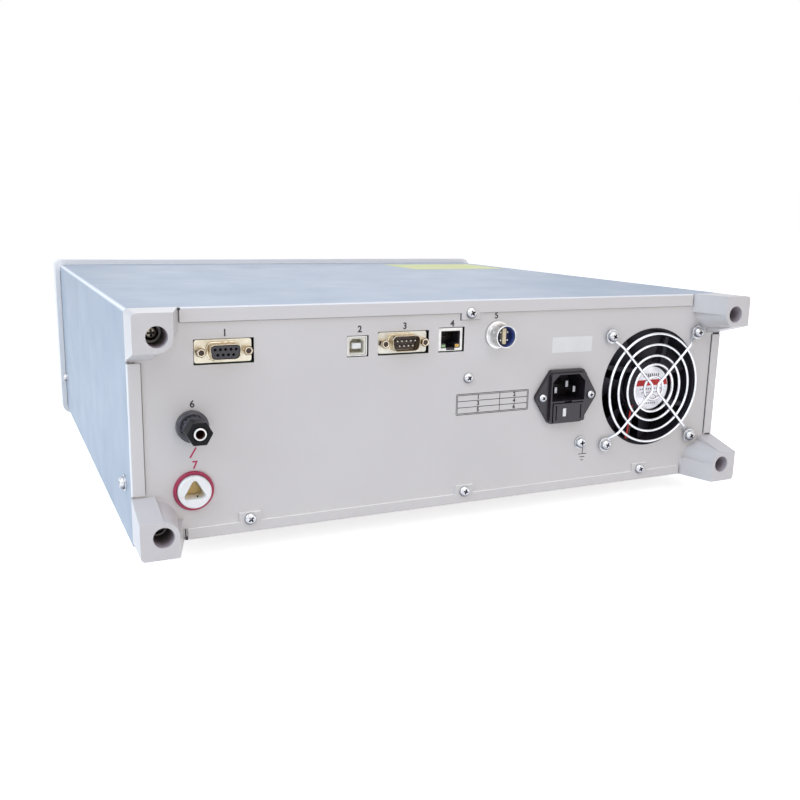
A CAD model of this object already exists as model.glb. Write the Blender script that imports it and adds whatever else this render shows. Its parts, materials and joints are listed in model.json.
import json
import math
import bmesh
import bpy
from mathutils import Matrix, Vector

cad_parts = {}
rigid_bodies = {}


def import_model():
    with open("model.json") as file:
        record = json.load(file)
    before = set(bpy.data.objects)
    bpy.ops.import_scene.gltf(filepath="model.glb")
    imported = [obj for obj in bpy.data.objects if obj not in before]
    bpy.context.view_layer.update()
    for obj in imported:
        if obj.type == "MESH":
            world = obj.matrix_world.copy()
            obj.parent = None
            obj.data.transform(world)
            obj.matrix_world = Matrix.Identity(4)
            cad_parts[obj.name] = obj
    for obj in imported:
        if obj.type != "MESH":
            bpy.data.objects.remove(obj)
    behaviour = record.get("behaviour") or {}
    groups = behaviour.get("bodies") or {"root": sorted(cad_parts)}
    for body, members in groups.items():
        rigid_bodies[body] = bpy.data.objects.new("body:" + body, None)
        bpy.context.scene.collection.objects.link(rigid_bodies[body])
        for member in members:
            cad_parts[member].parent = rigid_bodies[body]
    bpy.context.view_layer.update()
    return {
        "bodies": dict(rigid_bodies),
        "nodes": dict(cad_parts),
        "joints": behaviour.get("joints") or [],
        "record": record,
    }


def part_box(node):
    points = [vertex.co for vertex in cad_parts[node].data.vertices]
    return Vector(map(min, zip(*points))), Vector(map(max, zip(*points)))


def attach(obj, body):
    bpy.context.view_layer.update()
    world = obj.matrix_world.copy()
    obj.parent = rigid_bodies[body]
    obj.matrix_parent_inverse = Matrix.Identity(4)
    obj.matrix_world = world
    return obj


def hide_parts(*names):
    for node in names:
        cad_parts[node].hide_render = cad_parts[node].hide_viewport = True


# A bench impulse winding tester seen from its rear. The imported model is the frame, and every
# piece made here is in metres, in place, with its object at the origin.
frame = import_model()
scene = bpy.context.scene
mm = 0.001
print("frame loaded:", len(frame["nodes"]), "nodes")


# Nodes, colours and trees
def colour(code):
    parts = [int(code[i:i + 2], 16) / 255 for i in (1, 3, 5)]
    return [p / 12.92 if p <= 0.04045 else ((p + 0.055) / 1.055) ** 2.4 for p in parts] + [1.0]


def addNode(tree, kind, inputs=None, **settings):
    node = tree.nodes.new(kind)
    for key, value in settings.items():
        setattr(node, key, value)
    for key, value in (inputs or {}).items():
        if isinstance(value, bpy.types.NodeSocket):
            tree.links.new(value, node.inputs[key])
        else:
            node.inputs[key].default_value = value
    return node


def newTree(name, sockets):
    # A geometry tree with its named inputs: label, kind of socket and first value
    tree = bpy.data.node_groups.new(name, "GeometryNodeTree")
    for label, kind, value in sockets:
        socket = tree.interface.new_socket(label, in_out="INPUT", socket_type="NodeSocket" + kind)
        if value is not None:
            socket.default_value = value
    tree.interface.new_socket("Geometry", in_out="OUTPUT", socket_type="NodeSocketGeometry")
    return tree, addNode(tree, "NodeGroupInput").outputs


def grow(tree, source, values):
    # Runs a geometry tree on a source mesh and returns the plain mesh that comes out
    holder = bpy.data.objects.new(tree.name, source)
    scene.collection.objects.link(holder)
    modifier = holder.modifiers.new(tree.name, "NODES")
    modifier.node_group = tree
    for item in tree.interface.items_tree:
        if item.item_type == "SOCKET" and item.in_out == "INPUT" and item.name in values:
            modifier[item.identifier] = values[item.name]
    graph = bpy.context.evaluated_depsgraph_get()
    mesh = bpy.data.meshes.new_from_object(holder.evaluated_get(graph), depsgraph=graph)
    bpy.data.objects.remove(holder)
    return mesh


# Places on the object, read from the frame
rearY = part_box("rear_panel")[1].y
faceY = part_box("keypad_overlay")[1].y
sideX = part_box("top_cover")[1].x
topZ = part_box("top_cover")[1].z
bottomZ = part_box("bottom_cover")[0].z


def middle(node):
    low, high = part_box(node)
    return (low + high) / 2


def rearSpot(x, z, out=0.0):
    # Local x to the photo's right, y up and z out of the rear panel, in millimetres
    return Matrix(((-mm, 0, 0, x), (0, 0, mm, rearY + out * mm), (0, mm, 0, z), (0, 0, 0, 1)))


def frontSpot(x, z):
    # Local x to the right of someone facing the front, y up and z out of the front panel
    return Matrix(((mm, 0, 0, x), (0, 0, -mm, faceY), (0, mm, 0, z), (0, 0, 0, 1)))


def atRear(node, out=0.0):
    return rearSpot(middle(node).x, middle(node).z, out)


def atFront(node):
    return frontSpot(middle(node).x, middle(node).z)


def onPanel(u, h, out=0.0):
    return rearSpot(sideX - u * mm, bottomZ + h * mm, out)


# Shapes, in millimetres
def outline(corners, steps=5, closed=True):
    # Corners are (x, y) or (x, y, radius of a rounded corner)
    path = []
    count = len(corners)
    for i, corner in enumerate(corners):
        at = Vector(corner[:2])
        if len(corner) < 3 or (not closed and i in (0, count - 1)):
            path.append(at)
            continue
        back = (Vector(corners[i - 1][:2]) - at).normalized()
        ahead = (Vector(corners[(i + 1) % count][:2]) - at).normalized()
        half = back.angle(ahead) / 2
        centre = at + (back + ahead).normalized() * corner[2] / math.sin(half)
        reach = corner[2] / math.tan(half)
        first, last = at + back * reach - centre, at + ahead * reach - centre
        begin = math.atan2(first.y, first.x)
        turn = (math.atan2(last.y, last.x) - begin + math.pi) % (2 * math.pi) - math.pi
        for k in range(steps + 1):
            angle = begin + turn * k / steps
            path.append(centre + corner[2] * Vector((math.cos(angle), math.sin(angle))))
    return path


def rectangle(width, height, radius, steps=5):
    x, y = width / 2, height / 2
    return outline([(-x, -y, radius), (x, -y, radius), (x, y, radius), (-x, y, radius)], steps)


def circle(radius, count=64):
    return [radius * Vector((math.cos(a), math.sin(a)))
            for a in (2 * math.pi * i / count for i in range(count))]


def hexagon(reach, radius=0.0, steps=4, turn=0.0):
    corner = (radius,) if radius else ()
    return outline([(reach * math.cos(a), reach * math.sin(a), *corner)
                    for a in (math.pi / 3 * i + turn for i in range(6))], steps)


def inset(path, amount):
    # Moves a counter-clockwise outline inwards, or outwards by a negative amount
    if abs(amount) < 1e-9:
        return list(path)
    moved = []
    for i, at in enumerate(path):
        back = (at - path[i - 1]).normalized()
        ahead = (path[(i + 1) % len(path)] - at).normalized()
        normals = [Vector((-d.y, d.x)) for d in (back, ahead)]
        along = (normals[0] + normals[1]).normalized()
        moved.append(at + along * amount / max(along.dot(normals[0]), 0.3))
    return moved


def skin(rings, closed=False):
    # Joins rings of equal length, with a face at each end unless the rings close on themselves
    bm = bmesh.new()
    loops = [[bm.verts.new(point) for point in ring] for ring in rings]
    pairs = list(zip(loops, loops[1:])) + ([(loops[-1], loops[0])] if closed else [])
    for lower, upper in pairs:
        for i in range(len(lower)):
            j = (i + 1) % len(lower)
            bm.faces.new((lower[i], lower[j], upper[j], upper[i]))
    if not closed:
        bm.faces.new(loops[0])
        bm.faces.new(loops[-1])
    bmesh.ops.remove_doubles(bm, verts=bm.verts, dist=1e-5)
    bmesh.ops.recalc_face_normals(bm, faces=bm.faces)
    return bm


def loft(path, profile, closed=False):
    # Rings of an outline, each inset and raised as the profile's points say
    return skin([[(p.x, p.y, z) for p in inset(path, amount)] for amount, z in profile], closed)


def slab(path, low, high, top=0.0, bottom=0.0):
    # An outline with thickness, its upper and lower edges rounded
    corners = [(0, low, bottom) if bottom else (0, low), (0, high, top) if top else (0, high)]
    if bottom:
        corners.insert(0, (bottom, low))
    if top:
        corners.append((top, high))
    return loft(path, outline(corners, 4, closed=False))


def spin(profile, count=64, closed=False):
    # Turns a profile of (radius, height) points round the local z axis
    turns = [(math.cos(a), math.sin(a)) for a in (2 * math.pi * i / count for i in range(count))]
    return skin([[(r * c, r * s, z) for c, s in turns] for r, z in profile], closed)


def lathe(profile, steps, count, closed=False):
    # Turns a profile with rounded corners; a closed profile makes a ring
    return spin(outline(profile, steps, closed=closed), count, closed)


def block(low, high):
    return slab(outline([(low[0], low[1]), (high[0], low[1]), (high[0], high[1]), (low[0], high[1])]),
                low[2], high[2])


def bar(width, height, x=0.0, y=0.0, thick=0.04):
    return block((x - width / 2, y - height / 2, -0.01), (x + width / 2, y + height / 2, thick))


def moved(bm, place):
    bm.transform(place)
    return bm


def shifted(bm, x, y, z=0):
    return moved(bm, Matrix.Translation((x, y, z)))


def joined(parts):
    # One bmesh from several, which are freed
    whole = bmesh.new()
    for part in parts:
        mesh = bpy.data.meshes.new("part")
        part.to_mesh(mesh)
        part.free()
        whole.from_mesh(mesh)
        bpy.data.meshes.remove(mesh)
    return whole


def meshOf(name, shape):
    mesh = shape if isinstance(shape, bpy.types.Mesh) else bpy.data.meshes.new(name)
    if mesh is not shape:
        shape.to_mesh(mesh)
        shape.free()
    mesh.name = name
    return mesh


def finished(name, shape, finish, replaced=(), place=None, body="case", sharp=40):
    # Makes the piece, gives it its finish, and lets it ride on its body
    mesh = meshOf(name, shape)
    if place:
        mesh.transform(place)
    mesh.polygons.foreach_set("use_smooth", [True] * len(mesh.polygons))
    mesh.set_sharp_from_angle(angle=math.radians(sharp))

    def prepare(holder):
        holder.modifiers.new("even", "WEIGHTED_NORMAL").keep_sharp = True

    mesh = evaluated(mesh, prepare)
    mesh.name = name
    mesh.materials.clear()
    mesh.materials.append(finish)
    mesh.polygons.foreach_set("material_index", [0] * len(mesh.polygons))
    piece = bpy.data.objects.new(name, mesh)
    scene.collection.objects.link(piece)
    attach(piece, body)
    if replaced:
        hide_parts(*replaced)
    return piece


def evaluated(mesh, prepare):
    # Runs modifiers that prepare adds to an object, and returns the plain mesh
    holder = bpy.data.objects.new("holder", mesh)
    scene.collection.objects.link(holder)
    prepare(holder)
    graph = bpy.context.evaluated_depsgraph_get()
    result = bpy.data.meshes.new_from_object(holder.evaluated_get(graph), depsgraph=graph)
    bpy.data.objects.remove(holder)
    bpy.data.meshes.remove(mesh)
    return result


def carve(shape, cutter, keep="DIFFERENCE"):
    # Cuts one closed shape with another
    tool = bpy.data.objects.new("tool", meshOf("tool", cutter))
    scene.collection.objects.link(tool)

    def prepare(holder):
        cut = holder.modifiers.new("cut", "BOOLEAN")
        cut.operation = keep
        cut.solver = "EXACT"
        cut.use_self = True
        cut.object = tool

    result = evaluated(meshOf("whole", shape), prepare)
    bpy.data.objects.remove(tool)
    return result


rounding = {"sharpFrom": 30, "flatWithin": 0.8, "foldSteps": 5}   # the first two in degrees


def softened(node, radius, segments=2, fold=None):
    # The CAD node's own shape with its sharp edges rounded, as a press or a mould leaves them;
    # fold picks the edges that get the wider radius of a bent sheet
    bm = bmesh.new()
    bm.from_mesh(frame["nodes"][node].data)
    bmesh.ops.remove_doubles(bm, verts=bm.verts, dist=2e-6)
    bmesh.ops.dissolve_limit(bm, angle_limit=math.radians(rounding["flatWithin"]), verts=bm.verts,
                             edges=bm.edges)
    if fold:
        bent, wide = fold
        weights = bm.edges.layers.float.new("bevel_weight_edge")
        for edge in bm.edges:
            edge[weights] = float(bent(*[v.co for v in edge.verts]))
    mesh = meshOf(node, bm)

    def prepare(holder):
        folded = [("WEIGHT", wide, rounding["foldSteps"])] if fold else []
        for limit, width, steps in folded + [("ANGLE", radius, segments)]:
            bevel = holder.modifiers.new("edges", "BEVEL")
            bevel.width = width * mm
            bevel.segments = steps
            bevel.limit_method = limit
            bevel.angle_limit = math.radians(rounding["sharpFrom"])
            bevel.use_clamp_overlap = True
            bevel.miter_outer = "MITER_ARC"

    return evaluated(mesh, prepare)


def islands(node):
    # Lowest and highest corner of each separate solid of a CAD node
    bm = bmesh.new()
    bm.from_mesh(frame["nodes"][node].data)
    bmesh.ops.remove_doubles(bm, verts=bm.verts, dist=1e-6)
    left, found = set(bm.verts), []
    while left:
        group, edge = set(), [left.pop()]
        while edge:
            vert = edge.pop()
            group.add(vert)
            for link in vert.link_edges:
                other = link.other_vert(vert)
                if other in left:
                    left.discard(other)
                    edge.append(other)
        spots = [v.co for v in group]
        found.append((Vector(map(min, *spots)), Vector(map(max, *spots))))
    bm.free()
    return sorted(found, key=lambda pair: tuple(round(c, 4) for c in pair[0]))


# Finishes
def newFinish(name, base, roughness, metallic=0.0, **values):
    # A principled surface; values are further sockets, with underscores for spaces
    material = bpy.data.materials.new(name)
    material.use_nodes = True
    tree = material.node_tree
    tree.nodes.clear()
    shader = addNode(tree, "ShaderNodeBsdfPrincipled", {
        "Base Color": colour(base), "Roughness": roughness, "Metallic": metallic})
    for key, value in values.items():
        shader.inputs[key.replace("_", " ")].default_value = value
    addNode(tree, "ShaderNodeOutputMaterial", {"Surface": shader.outputs["BSDF"]})
    return material, tree, shader


def addRelief(tree, shader, size, depth, detail=2.0, stretch=None):
    # Fine relief; size and depth are real ones in millimetres
    place = addNode(tree, "ShaderNodeTexCoord").outputs["Object"]
    if stretch:
        place = addNode(tree, "ShaderNodeMapping", {"Vector": place, "Scale": stretch}).outputs["Vector"]
    noise = addNode(tree, "ShaderNodeTexNoise", {"Vector": place, "Scale": 1 / (size * mm), "Detail": detail})
    bump = addNode(tree, "ShaderNodeBump", {"Height": noise.outputs["Fac"], "Distance": depth * mm})
    tree.links.new(bump.outputs["Normal"], shader.inputs["Normal"])
    return noise


def blendInto(tree, shader, share, first, second):
    # The surface goes from first to second by a share from 0 to 1; first may be a socket
    mix = addNode(tree, "ShaderNodeMix", {"Factor": share}, data_type="RGBA")
    if isinstance(first, str):
        mix.inputs["A"].default_value = colour(first)
    else:
        tree.links.new(first, mix.inputs["A"])
    mix.inputs["B"].default_value = colour(second)
    tree.links.new(mix.outputs["Result"], shader.inputs["Base Color"])


def addClouds(tree, shader, size, first, second, socket="Base Color"):
    # Slow change between two colours, or between two roughness values
    place = addNode(tree, "ShaderNodeTexCoord").outputs["Object"]
    noise = addNode(tree, "ShaderNodeTexNoise", {"Vector": place, "Scale": 1 / (size * mm), "Detail": 3.0})
    ramp = addNode(tree, "ShaderNodeMapRange", {
        "Value": noise.outputs["Fac"], "From Min": 0.3, "From Max": 0.7})
    if socket == "Base Color":
        blendInto(tree, shader, ramp.outputs["Result"], first, second)
    else:
        ramp.inputs["To Min"].default_value = first
        ramp.inputs["To Max"].default_value = second
        tree.links.new(ramp.outputs["Result"], shader.inputs[socket])


def addTint(tree, shader, share, code):
    # Lays another colour over the one that feeds the surface, by a share from 0 to 1
    blendInto(tree, shader, share, shader.inputs["Base Color"].links[0].from_socket, code)


def addTintAlongY(tree, shader, start, end, code):
    # Turns the colour into another one as Object y goes from start to end
    place = addNode(tree, "ShaderNodeTexCoord").outputs["Object"]
    y = addNode(tree, "ShaderNodeSeparateXYZ", {"Vector": place}).outputs["Y"]
    share = addNode(tree, "ShaderNodeMapRange", {"Value": y, "From Min": start, "From Max": end})
    addTint(tree, shader, share.outputs["Result"], code)


def addBends(tree, shader, code):
    # Another colour where the sheet bends between its main directions
    facing = addNode(tree, "ShaderNodeTexCoord").outputs["Normal"]
    size = addNode(tree, "ShaderNodeVectorMath", {0: facing}, operation="ABSOLUTE").outputs[0]
    parts = addNode(tree, "ShaderNodeSeparateXYZ", {"Vector": size}).outputs
    pair = addNode(tree, "ShaderNodeMath", {0: parts["X"], 1: parts["Y"]}, operation="MAXIMUM")
    most = addNode(tree, "ShaderNodeMath", {0: pair.outputs[0], 1: parts["Z"]}, operation="MAXIMUM")
    share = addNode(tree, "ShaderNodeMapRange", {"Value": most.outputs[0], "From Min": 0.99, "From Max": 0.8})
    addTint(tree, shader, share.outputs["Result"], code)


def powderCoat(name, first, second, roughness, tint=None, bend=None):
    # Powder coat on folded steel: satin, with a slight orange peel of about 1.5 mm that is
    # drawn a little coarser than the real one so that it shows
    material, tree, shader = newFinish(name, first, roughness, IOR=1.5, Specular_IOR_Level=0.32)
    addRelief(tree, shader, 1.6, 0.012, 1.0)
    addClouds(tree, shader, 70, first, second)
    if tint:
        addTintAlongY(tree, shader, *tint)
    if bend:
        addBends(tree, shader, bend)
    addClouds(tree, shader, 25, roughness - 0.05, roughness + 0.05, socket="Roughness")
    return material


def mouldedPlastic(name, first, second, roughness, grain=0.9, depth=0.012, level=0.5, tint=None):
    # Moulded ABS, nylon or resin: fine spark-eroded grain, colour even but for faint flow
    material, tree, shader = newFinish(name, first, roughness, IOR=1.53, Specular_IOR_Level=level)
    addRelief(tree, shader, grain, depth)
    addClouds(tree, shader, 18, first, second)
    if tint:
        addTintAlongY(tree, shader, *tint)
    return material


def platedMetal(name, first, second, roughness, spread=0.08, size=4):
    # Plated or turned metal: bright, with cloudy roughness where hands and air have dulled it
    material, tree, shader = newFinish(name, first, roughness, 1.0)
    addClouds(tree, shader, size, first, second)
    addClouds(tree, shader, size / 2, roughness, roughness + spread, socket="Roughness")
    return material


def anodised(name, first, second):
    # Anodised aluminium panel: brushed along x before dyeing, so it glints in thin streaks
    material, tree, shader = newFinish(name, first, 0.42, 0.85)
    addRelief(tree, shader, 0.8, 0.004, 1.0, stretch=(0.02, 1.0, 1.0))
    addClouds(tree, shader, 40, first, second)
    return material


def printedInk(name, code, roughness=0.5):
    # Screen-printed ink: flat and a little patchy where it is thin
    material, tree, shader = newFinish(name, code, roughness, IOR=1.45)
    addRelief(tree, shader, 0.5, 0.002)
    addClouds(tree, shader, 3, roughness - 0.06, roughness + 0.06, socket="Roughness")
    return material


def labelStock(name, first, second, roughness):
    # Laminated label: even sheet with faint waves from being pressed on by hand
    material, tree, shader = newFinish(name, first, roughness, IOR=1.46)
    addRelief(tree, shader, 9, 0.03, 1.0)
    addClouds(tree, shader, 12, first, second)
    return material


def clearPlastic(name, code):
    # Cast acrylic: see-through with sharp reflections
    material, tree, shader = newFinish(name, code, 0.04, IOR=1.49, Transmission_Weight=1.0)
    addRelief(tree, shader, 30, 0.01, 1.0)
    return material


def rubber(name, first, second):
    # Moulded rubber: nearly black, dull, dusty in patches
    material, tree, shader = newFinish(name, first, 0.75, IOR=1.5)
    addRelief(tree, shader, 0.7, 0.02)
    addClouds(tree, shader, 6, first, second)
    return material


def insulatorWhite(name, first, second, tint):
    # Turned fluoropolymer: milky white, waxy sheen and light that enters a little; the walls of
    # its recess have yellowed
    material, tree, shader = newFinish(name, first, 0.32, IOR=1.38, Subsurface_Weight=0.12,
                                       Subsurface_Scale=0.001)
    addRelief(tree, shader, 2.0, 0.004, 1.0)
    addClouds(tree, shader, 6, first, second)
    addTintAlongY(tree, shader, *tint)
    return material


def circuitBoard(name):
    # Glass-epoxy board: green solder mask over a woven cloth of about 0.5 mm pitch
    material, tree, shader = newFinish(name, "#1F5A36", 0.35, IOR=1.55)
    addRelief(tree, shader, 0.5, 0.01)
    addClouds(tree, shader, 8, "#1B5030", "#26683F")
    return material


def galvanised(name):
    # Galvanised sheet: matt grey with zinc flowers about 8 mm across
    material, tree, shader = newFinish(name, "#A6A8AA", 0.45, 0.9)
    place = addNode(tree, "ShaderNodeTexCoord").outputs["Object"]
    cells = addNode(tree, "ShaderNodeTexVoronoi", {"Vector": place, "Scale": 1 / (8 * mm)})
    blendInto(tree, shader, cells.outputs["Distance"], "#9B9EA2", "#B9BCBF")
    return material


def screwPlate(name, first, second, below, recess):
    # Bright zinc on pan heads: dull towards the table, and dark in the cross where dirt stays
    material, tree, shader = newFinish(name, first, 0.2, 1.0)
    addClouds(tree, shader, 3, first, second)
    addClouds(tree, shader, 1.5, 0.16, 0.28, socket="Roughness")
    facing = addNode(tree, "ShaderNodeTexCoord").outputs["Normal"]
    up = addNode(tree, "ShaderNodeSeparateXYZ", {"Vector": facing}).outputs["Z"]
    share = addNode(tree, "ShaderNodeMapRange", {"Value": up, "From Min": 0.15, "From Max": -0.5})
    addTint(tree, shader, share.outputs["Result"], below)
    marked = addNode(tree, "ShaderNodeAttribute", attribute_name="recess")
    addTint(tree, shader, marked.outputs["Fac"], recess)
    return material


coverPaint = powderCoat("powderCoatBlueGrey", "#9AA7B6", "#A2AFBE", 0.42,
                        (rearY - 0.3 * mm, rearY + 0.2 * mm, "#DAD6D3"), "#F6F7F8")
panelPaint = powderCoat("powderCoatLightGrey", "#D6D2CF", "#DAD6D3", 0.45)
cutPanelPaint = powderCoat("powderCoatCutEdges", "#D6D2CF", "#DAD6D3", 0.45,
                           (rearY - 0.2 * mm, rearY - 0.35 * mm, "#1B191B"))
footPlastic = mouldedPlastic("absLightGrey", "#CFCBC9", "#D3CFCD", 0.34)
bezelPlastic = mouldedPlastic("absOffWhite", "#EFECE9", "#F2EFEC", 0.34)
boreShade = mouldedPlastic("absBoreGrey", "#C6BCC1", "#BCB2B7", 0.5,
                           tint=(rearY + 21 * mm, rearY + 7 * mm, "#352E30"))
blackPlastic = mouldedPlastic("nylonBlack", "#232125", "#2A282C", 0.4, 1.2, 0.008)
charcoalPlastic = mouldedPlastic("pbtCharcoal", "#29262B", "#302D33", 0.42, 0.7)
knobPlastic = mouldedPlastic("softTouchCharcoal", "#2F333B", "#363A42", 0.55)
framePlastic = mouldedPlastic("pbtFrameBlack", "#262329", "#2C2930", 0.6, 1.2, 0.008, 0.25)
bladePlastic = mouldedPlastic("pbtFanBlack", "#2A272F", "#322E37", 0.5, 1.5, 0.006, 0.3)
crimsonPlastic = mouldedPlastic("crimsonNylon", "#A01645", "#A81F4D", 0.35)
redPlastic = mouldedPlastic("redAbs", "#B3221F", "#BB2B26", 0.32)
greenPlastic = mouldedPlastic("greenAbs", "#2E9A4A", "#37A353", 0.32)
inletPlastic = mouldedPlastic("pbtInletBlack", "#231D23", "#2A242A", 0.34, 0.8, 0.008)
glossCharcoal = mouldedPlastic("phenolicCharcoal", "#38363D", "#44424A", 0.26, 0.9, 0.006)
glossBlack = mouldedPlastic("phenolicBlack", "#0D0C0F", "#141317", 0.3, 0.9, 0.006, 0.14)
whiteInsulator = insulatorWhite("turnedFluoropolymer", "#FCFCFA", "#F7F7F4",
                                (rearY + 2.6 * mm, rearY - 2.5 * mm, "#FBF4E4"))
ivoryPlastic = mouldedPlastic("ivoryNylon", "#E4DFCE", "#EAE6D8", 0.38)
tongueWhite = mouldedPlastic("whiteNylon", "#F6F6F4", "#EFEFEC", 0.3)
creamPlastic = mouldedPlastic("creamNylon", "#E9DBB6", "#DFCFA6", 0.36)
tanResin = mouldedPlastic("tanPhenolic", "#F0D698", "#DFBE78", 0.5)
brownPlastic = mouldedPlastic("brownPbt", "#3B2C29", "#44332F", 0.4)
bluePlastic = mouldedPlastic("bluePbt", "#2E3E78", "#3A4C8C", 0.3)
nickel = platedMetal("nickelPlate", "#D3D2CF", "#BDBCB9", 0.2)
sealant = mouldedPlastic("greySealant", "#8D8681", "#827B76", 0.6, 0.6)
brushedNickel = platedMetal("turnedNickelPlate", "#DEDDDB", "#C9C8C6", 0.26, 0.1, 3)
dullNickel = platedMetal("dullNickelPlate", "#A2A1A4", "#8C8B8F", 0.3, 0.1, 3)
zinc = platedMetal("brightZincPlate", "#C6C7C9", "#ABACAF", 0.18, 0.12, 3)
guardChrome = platedMetal("nickelChromeWire", "#E4E4E7", "#D2D2D5", 0.18, 0.1, 6)
yellowZinc = platedMetal("yellowZincPlate", "#CFCABA", "#BFB8A4", 0.3, 0.1, 5)
darkGap = mouldedPlastic("blackSealant", "#2B292C", "#1F1D20", 0.6, 0.6)
screwZinc = screwPlate("zincPlatedHeads", "#DADBDD", "#C3C4C7", "#78787C", "#8E8B8D")
bareSteel = platedMetal("bareSheetEdge", "#F6F6F5", "#EFEFEE", 0.5)
shellGold = platedMetal("paleGoldPlate", "#DFD5C2", "#C2B091", 0.2, 0.1, 2)
tinPlate = platedMetal("tinPlate", "#CDCBC1", "#B9B6AB", 0.3, 0.12, 5)
brass = platedMetal("turnedBrass", "#D9B56A", "#C9A255", 0.24)
gold = platedMetal("goldContact", "#E9C46C", "#DDB257", 0.2)
sheetZinc = galvanised("galvanisedSheet")
panelAnodised = anodised("anodisedAluminium", "#A5A8AC", "#ABAEB2")
keyFilm = mouldedPlastic("polycarbonateFilm", "#3A3F49", "#3E434E", 0.38, 1.2, 0.01)
keyFace = mouldedPlastic("embossedKey", "#C9CCD0", "#CFD2D5", 0.42, 1.2, 0.01)
screenGlass = clearPlastic("acrylicWindow", "#E9EFF2")
screenFace = mouldedPlastic("unlitDisplay", "#232C33", "#29333B", 0.25, 6, 0.002)
tubeGlass = clearPlastic("fuseGlass", "#EEF3F2")
padRubber = rubber("blackRubber", "#232323", "#2E2D2C")
darkInk = printedInk("darkGreyInk", "#353237")
crimsonInk = printedInk("crimsonInk", "#B8305A")
whiteInk = printedInk("whiteInk", "#E6E6E4")
redInk = printedInk("redInk", "#D42A24", 0.4)
whiteLabel = labelStock("whiteLabel", "#EAE9E6", "#E4E3E0", 0.35)
yellowLabel = labelStock("yellowLabel", "#C3C878", "#BCC26E", 0.4)
silverLabel = platedMetal("silverFoilLabel", "#EDECEF", "#E2E1E5", 0.42)
springBronze = platedMetal("oxidisedBronze", "#7A4A3E", "#5C3730", 0.4, 0.1, 2)
postBrass = platedMetal("palePlatedBrass", "#DCD0BC", "#C4B398", 0.2, 0.1, 2)
darkZinc = screwPlate("yellowedZincHeads", "#A79F90", "#837C70", "#3E3B3A", "#2A2829")
greenLamp = mouldedPlastic("greenLightPipe", "#9CBF86", "#86AB72", 0.2)
amberLamp = mouldedPlastic("amberLightPipe", "#F0C45E", "#E0B046", 0.2)
redWire = mouldedPlastic("redWireSleeve", "#C8302B", "#D03A34", 0.3)
blackWire = mouldedPlastic("blackWireSleeve", "#1D1C1E", "#262527", 0.35)
boardGreen = circuitBoard("solderMaskGreen")
pottingResin = mouldedPlastic("pottingResin", "#26262A", "#2E2E32", 0.3, 3)
sleeveBlue = mouldedPlastic("blueSleeve", "#27507A", "#2D5985", 0.3)
relayCase = mouldedPlastic("relayCase", "#CDBF93", "#D4C79D", 0.4)
print("finishes made")


# Geometry trees
def makePointTree():
    # Sets a template on each point, its z along the point's axis, turned at random about it
    tree, given = newTree("repeatOnPoints", [
        ("Points", "Geometry", None), ("Template", "Object", None), ("Turn", "Float", 0.0),
        ("Seed", "Int", 4), ("Finish", "Material", None)])
    axis = addNode(tree, "GeometryNodeInputNamedAttribute", {"Name": "axis"}, data_type="FLOAT_VECTOR")
    size = addNode(tree, "GeometryNodeInputNamedAttribute", {"Name": "size"}, data_type="FLOAT")
    stand = addNode(tree, "FunctionNodeAlignRotationToVector", {
        "Vector": axis.outputs["Attribute"]}, axis="Z")
    angle = addNode(tree, "FunctionNodeRandomValue", {"Seed": given["Seed"]}, data_type="FLOAT")
    tree.links.new(given["Turn"], angle.inputs[3])
    about = addNode(tree, "FunctionNodeAxisAngleToRotation", {"Axis": (0, 0, 1), "Angle": angle.outputs[1]})
    turned = addNode(tree, "FunctionNodeRotateRotation", {
        "Rotation": stand.outputs[0], "Rotate By": about.outputs[0]}, rotation_space="LOCAL")
    template = addNode(tree, "GeometryNodeObjectInfo", {"Object": given["Template"]})
    placed = addNode(tree, "GeometryNodeInstanceOnPoints", {
        "Points": given["Points"], "Instance": template.outputs["Geometry"],
        "Rotation": turned.outputs[0], "Scale": size.outputs["Attribute"]})
    real = addNode(tree, "GeometryNodeRealizeInstances", {"Geometry": placed.outputs["Instances"]})
    done = addNode(tree, "GeometryNodeSetMaterial", {
        "Geometry": real.outputs["Geometry"], "Material": given["Finish"]})
    addNode(tree, "NodeGroupOutput", {"Geometry": done.outputs["Geometry"]})
    return tree


def makeRingTree():
    # Repeats a template round the local z axis
    tree, given = newTree("repeatInRing", [
        ("Start", "Geometry", None), ("Template", "Object", None), ("Count", "Int", 6),
        ("Finish", "Material", None)])
    points = addNode(tree, "GeometryNodePoints", {"Count": given["Count"]})
    index = addNode(tree, "GeometryNodeInputIndex")
    share = addNode(tree, "ShaderNodeMath", {0: index.outputs[0], 1: given["Count"]}, operation="DIVIDE")
    angle = addNode(tree, "ShaderNodeMath", {0: share.outputs[0], 1: 2 * math.pi}, operation="MULTIPLY")
    about = addNode(tree, "FunctionNodeAxisAngleToRotation", {"Axis": (0, 0, 1), "Angle": angle.outputs[0]})
    template = addNode(tree, "GeometryNodeObjectInfo", {"Object": given["Template"]})
    placed = addNode(tree, "GeometryNodeInstanceOnPoints", {
        "Points": points.outputs[0], "Instance": template.outputs["Geometry"], "Rotation": about.outputs[0]})
    real = addNode(tree, "GeometryNodeRealizeInstances", {"Geometry": placed.outputs["Instances"]})
    whole = addNode(tree, "GeometryNodeJoinGeometry", {"Geometry": real.outputs["Geometry"]})
    tree.links.new(given["Start"], whole.inputs["Geometry"])
    done = addNode(tree, "GeometryNodeSetMaterial", {
        "Geometry": whole.outputs["Geometry"], "Material": given["Finish"]})
    addNode(tree, "NodeGroupOutput", {"Geometry": done.outputs["Geometry"]})
    return tree


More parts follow.
